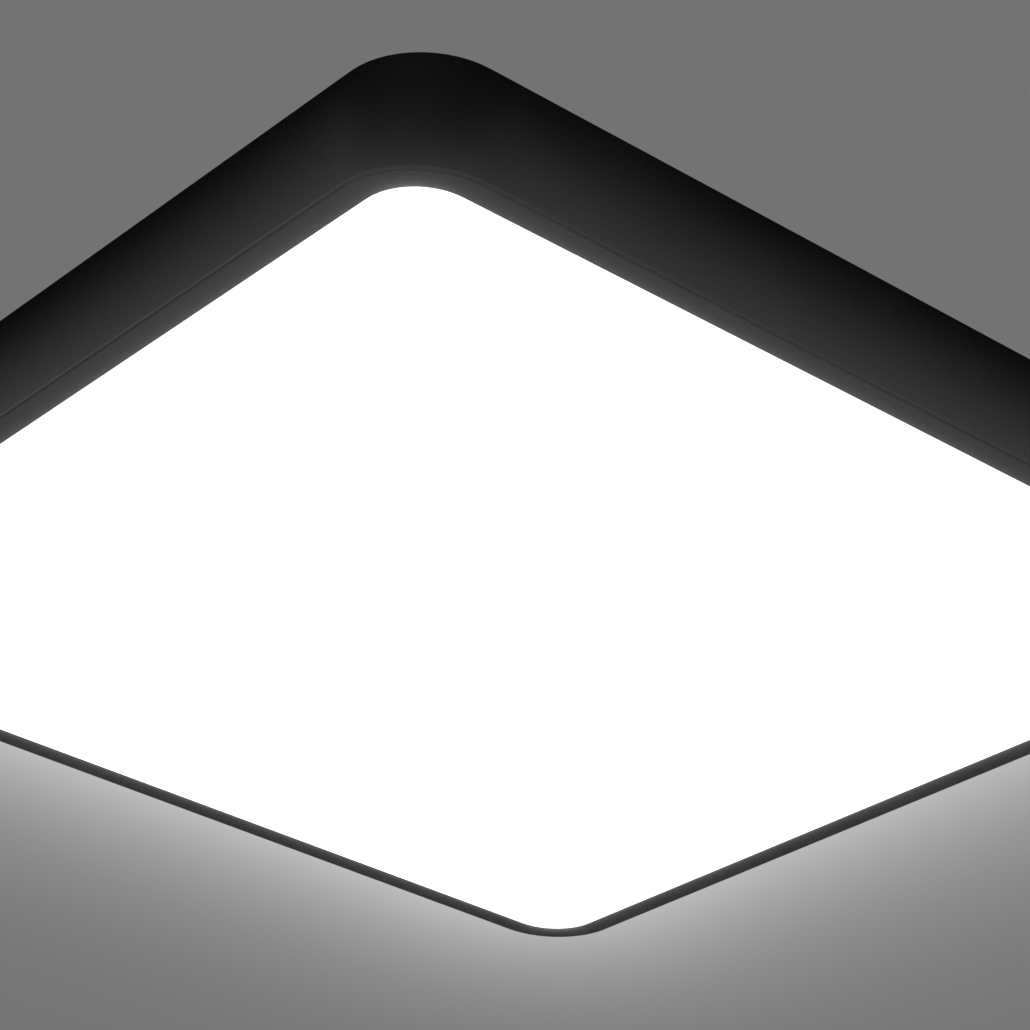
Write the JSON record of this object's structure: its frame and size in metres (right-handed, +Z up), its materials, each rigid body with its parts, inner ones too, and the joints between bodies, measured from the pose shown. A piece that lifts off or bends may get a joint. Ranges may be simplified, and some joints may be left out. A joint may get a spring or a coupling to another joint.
{
  "type": "ceiling light",
  "caption": "Square flush-mount ceiling light: a black rounded rim with a lit opal diffuser pulls down off a pan of lensed LED boards that thumb nuts hold to a ceiling bar.",
  "frame": {"origin": "on the ceiling plane, midway between the ceiling bar's two screw slots", "axes": "+Z up into the ceiling, X along the ceiling bar and two sides of the rim, Y along the other two"},
  "size_m": [0.5, 0.5, 0.05],
  "materials": {
    "black_powder_coat": "satin",
    "opal_acrylic": "satin",
    "foam_rubber": "matte",
    "spring_steel": "satin",
    "zinc_steel": "satin",
    "white_enamel": "satin",
    "turned_brass": "polished",
    "white_board": "matte",
    "clear_acrylic": "gloss",
    "yellow_phosphor": "gloss",
    "white_nylon": "satin",
    "red_insulation": "satin",
    "black_insulation": "satin",
    "brown_insulation": "satin",
    "blue_insulation": "satin",
    "green_insulation": "satin",
    "white_polycarbonate": "satin",
    "brown_laminate": "matte",
    "yellow_tape": "satin",
    "black_sleeve": "gloss",
    "grey_nylon": "satin",
    "dark_nylon": "satin",
    "tinned_copper": "satin",
    "black_rubber": "matte"
  },
  "bodies": {
    "base": {"bar_studs": "zinc_steel", "base_pan": "white_enamel", "board_jumpers_black": "black_insulation", "board_jumpers_red": "red_insulation", "board_plugs": "white_nylon", "board_screws": "zinc_steel", "cable_grommet": "black_rubber", "ceiling_bar": "zinc_steel", "clip_rivets": "zinc_steel", "driver_base": "white_polycarbonate", "driver_capacitors": "black_sleeve", "driver_circuit_board": "brown_laminate", "driver_cover": "white_polycarbonate", "driver_screws": "zinc_steel", "driver_transformer": "yellow_tape", "earth_lead": "green_insulation", "earth_screw": "zinc_steel", "earth_tag": "tinned_copper", "feed_leads_black": "black_insulation", "feed_leads_red": "red_insulation", "inner_board_back": "white_board", "inner_board_front": "white_board", "inner_board_left": "white_board", "inner_board_right": "white_board", "inner_lenses_back": "clear_acrylic", "inner_lenses_front": "clear_acrylic", "inner_lenses_left": "clear_acrylic", "inner_lenses_right": "clear_acrylic", "led_emitters": "yellow_phosphor", "live_lead": "brown_insulation", "neutral_lead": "blue_insulation", "outer_board_back": "white_board", "outer_board_front": "white_board", "outer_board_left": "white_board", "outer_board_right": "white_board", "outer_lenses_back": "clear_acrylic", "outer_lenses_front": "clear_acrylic", "outer_lenses_left": "clear_acrylic", "outer_lenses_right": "clear_acrylic", "pan_washers": "zinc_steel", "spring_clip_back": "spring_steel", "spring_clip_front": "spring_steel", "spring_clip_left": "spring_steel", "spring_clip_right": "spring_steel", "stud_lock_nuts": "zinc_steel", "terminal_housing": "grey_nylon", "terminal_pin": "zinc_steel", "terminal_screws": "zinc_steel"},
    "cover": {"rim": "black_powder_coat", "rim_joint_plate": "black_powder_coat", "rim_joint_rivets": "black_powder_coat", "diffuser": "opal_acrylic", "diffuser_gasket": "foam_rubber", "diffuser_retainers": "spring_steel"},
    "thumb_nut_left": {"thumb_nut_left": "turned_brass"},
    "thumb_nut_right": {"thumb_nut_right": "turned_brass"},
    "lever_live": {"terminal_lever_live": "dark_nylon"},
    "lever_neutral": {"terminal_lever_neutral": "dark_nylon"},
    "lever_earth": {"terminal_lever_earth": "dark_nylon"}
  },
  "joints": [
    {"name": "cover_pull", "type": "slide", "parent": "base", "child": "cover", "axis": [0, 0, -1], "range_m": [0, 0.12], "deforming": ["spring_clip_back", "spring_clip_front", "spring_clip_left", "spring_clip_right"]},
    {"name": "thumb_nut_left_turn", "type": "hinge", "parent": "base", "child": "thumb_nut_left", "pos_m": [-0.1439, 0, -0.018], "axis": [0, 0, 1], "continuous": true},
    {"name": "thumb_nut_right_turn", "type": "hinge", "parent": "base", "child": "thumb_nut_right", "pos_m": [0.1439, 0, -0.018], "axis": [0, 0, 1], "continuous": true},
    {"name": "lever_live_open", "type": "hinge", "parent": "base", "child": "lever_live", "pos_m": [-0.0362, -0.035, -0.0234], "axis": [0, 1, 0], "range_deg": [0, 80]},
    {"name": "lever_neutral_open", "type": "hinge", "parent": "base", "child": "lever_neutral", "pos_m": [-0.0362, -0.042, -0.0234], "axis": [0, 1, 0], "range_deg": [0, 80]},
    {"name": "lever_earth_open", "type": "hinge", "parent": "base", "child": "lever_earth", "pos_m": [-0.0362, -0.049, -0.0234], "axis": [0, 1, 0], "range_deg": [0, 80]}
  ]
}
